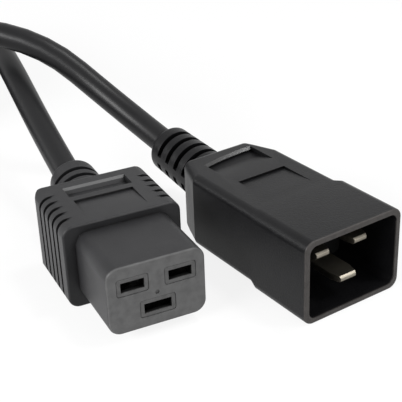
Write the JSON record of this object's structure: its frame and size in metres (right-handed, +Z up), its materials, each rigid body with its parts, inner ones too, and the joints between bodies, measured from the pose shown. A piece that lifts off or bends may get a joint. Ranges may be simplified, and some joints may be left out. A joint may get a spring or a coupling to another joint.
{
  "type": "power cord",
  "caption": "Black power cord with a moulded C19 connector at one end and a shrouded C20 plug at the other, both with slotted strain reliefs, the cord wound in a coil behind them.",
  "frame": {"origin": "on the floor the two ends rest on, at the middle of the footprint of the connector and the plug, cord left out", "axes": "+Z up; -Y the way the mating faces look, the C20 plug turned 10.8 degrees and the C19 connector 19.8 degrees from it, both clockwise seen from above; +X to the C20 plug's side"},
  "size_m": [0.1032, 0.2908, 0.0527],
  "materials": {
    "black_pvc": "satin moulded black PVC with a fine grain",
    "gloss_pvc": "smoother black PVC with a soft gloss",
    "carrier_plastic": "matt black glass-filled plastic",
    "nickel_blade": "nickel-plated brass, satin",
    "spring_brass": "bare rolled brass",
    "copper_strands": "bare twisted copper",
    "brown_wire": "smooth brown PVC insulation",
    "blue_wire": "smooth blue PVC insulation",
    "earth_wire": "green PVC insulation with a yellow stripe",
    "cord_jacket": "black PVC cord jacket with a soft sheen"
  },
  "bodies": {
    "root": {"c19_contact_carrier": "carrier_plastic", "c19_earth_contact": "spring_brass", "c19_earth_strands": "copper_strands", "c19_earth_wire": "earth_wire", "c19_line_contact": "spring_brass", "c19_line_strands": "copper_strands", "c19_line_wire": "brown_wire", "c19_neutral_contact": "spring_brass", "c19_neutral_strands": "copper_strands", "c19_neutral_wire": "blue_wire", "c19_overmould": "black_pvc", "c20_earth_pin": "nickel_blade", "c20_earth_strands": "copper_strands", "c20_earth_wire": "earth_wire", "c20_line_pin": "nickel_blade", "c20_line_strands": "copper_strands", "c20_line_wire": "brown_wire", "c20_neutral_pin": "nickel_blade", "c20_neutral_strands": "copper_strands", "c20_neutral_wire": "blue_wire", "c20_overmould": "gloss_pvc", "c20_pin_carrier": "carrier_plastic", "cord_c19_lead": "cord_jacket", "cord_c20_lead": "cord_jacket", "cord_coil": "cord_jacket"}
  },
  "joints": []
}
